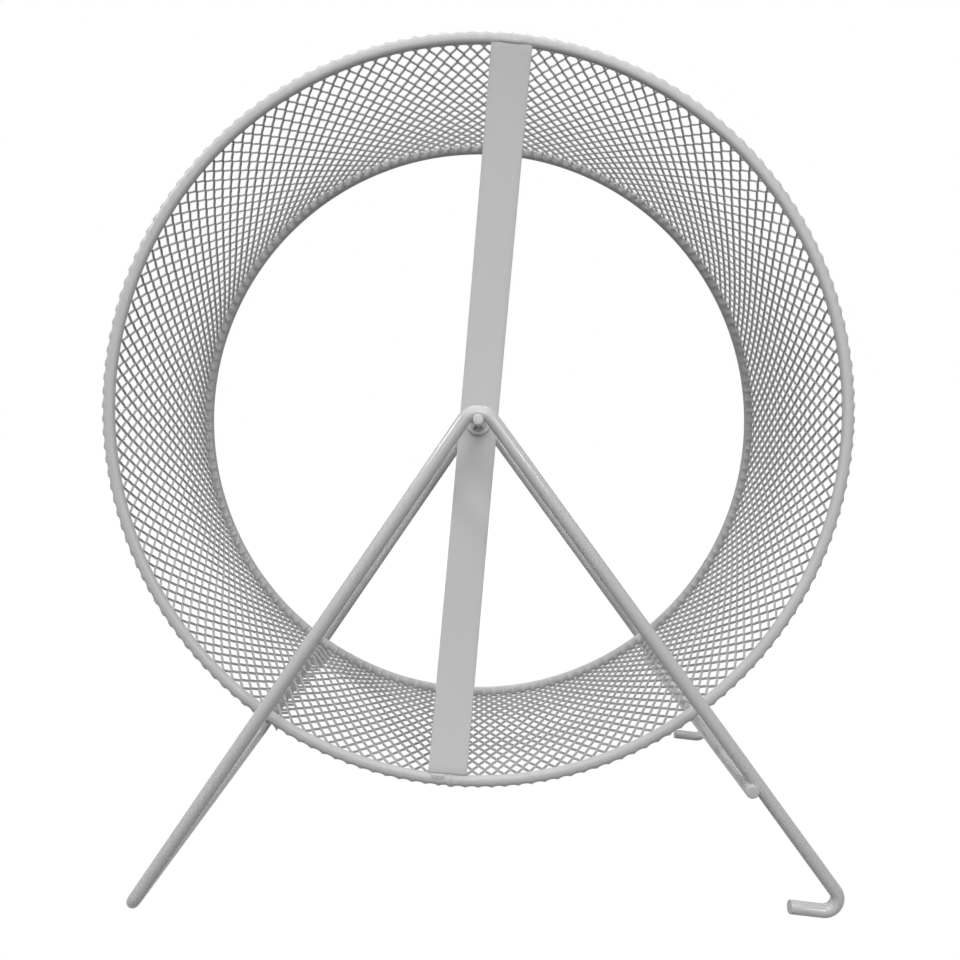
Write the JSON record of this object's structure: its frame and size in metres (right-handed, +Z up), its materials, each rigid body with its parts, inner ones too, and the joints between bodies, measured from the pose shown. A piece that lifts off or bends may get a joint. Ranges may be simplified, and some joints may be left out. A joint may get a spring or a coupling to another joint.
{
  "type": "rodent exercise wheel",
  "caption": "Free-standing exercise wheel: an open drum of expanded mesh on two wire hoops, turning on a fixed axle between the A-shaped frames of a bent wire stand.",
  "frame": {"origin": "on the ground, straight under the middle of the axle", "axes": "+Z up, the axle along Y, the front of the wheel towards -Y, the open hooked feet towards +X"},
  "size_m": [0.301, 0.2016, 0.3375],
  "materials": {
    "coated_wire": "light grey powder coat on round steel wire, semi-gloss",
    "coated_mesh": "light grey powder coat on expanded steel mesh",
    "coated_strap": "light grey powder coat on flat steel strip, satin",
    "coated_weld": "light grey powder coat over small weld beads",
    "coated_clip": "light grey powder coat on pressed steel"
  },
  "bodies": {
    "stand": {"axle": "coated_wire", "front_hub_washer": "coated_clip", "rear_hub_washer": "coated_clip", "front_clip": "coated_clip", "rear_clip": "coated_clip", "stand_wire": "coated_wire", "cross_rod": "coated_wire", "front_axle_weld": "coated_weld", "rear_axle_weld": "coated_weld", "front_rod_weld": "coated_weld", "rear_rod_weld": "coated_weld"},
    "wheel": {"running_mesh": "coated_mesh", "mesh_lap": "coated_mesh", "front_hoop": "coated_wire", "rear_hoop": "coated_wire", "front_hoop_weld": "coated_weld", "rear_hoop_weld": "coated_weld", "front_strap": "coated_strap", "rear_strap": "coated_strap", "front_strap_welds": "coated_weld", "rear_strap_welds": "coated_weld"}
  },
  "joints": [
    {"name": "wheel_spin", "type": "hinge", "parent": "stand", "child": "wheel", "pos_m": [0, 0, 0.187], "axis": [0, 1, 0], "continuous": true}
  ]
}
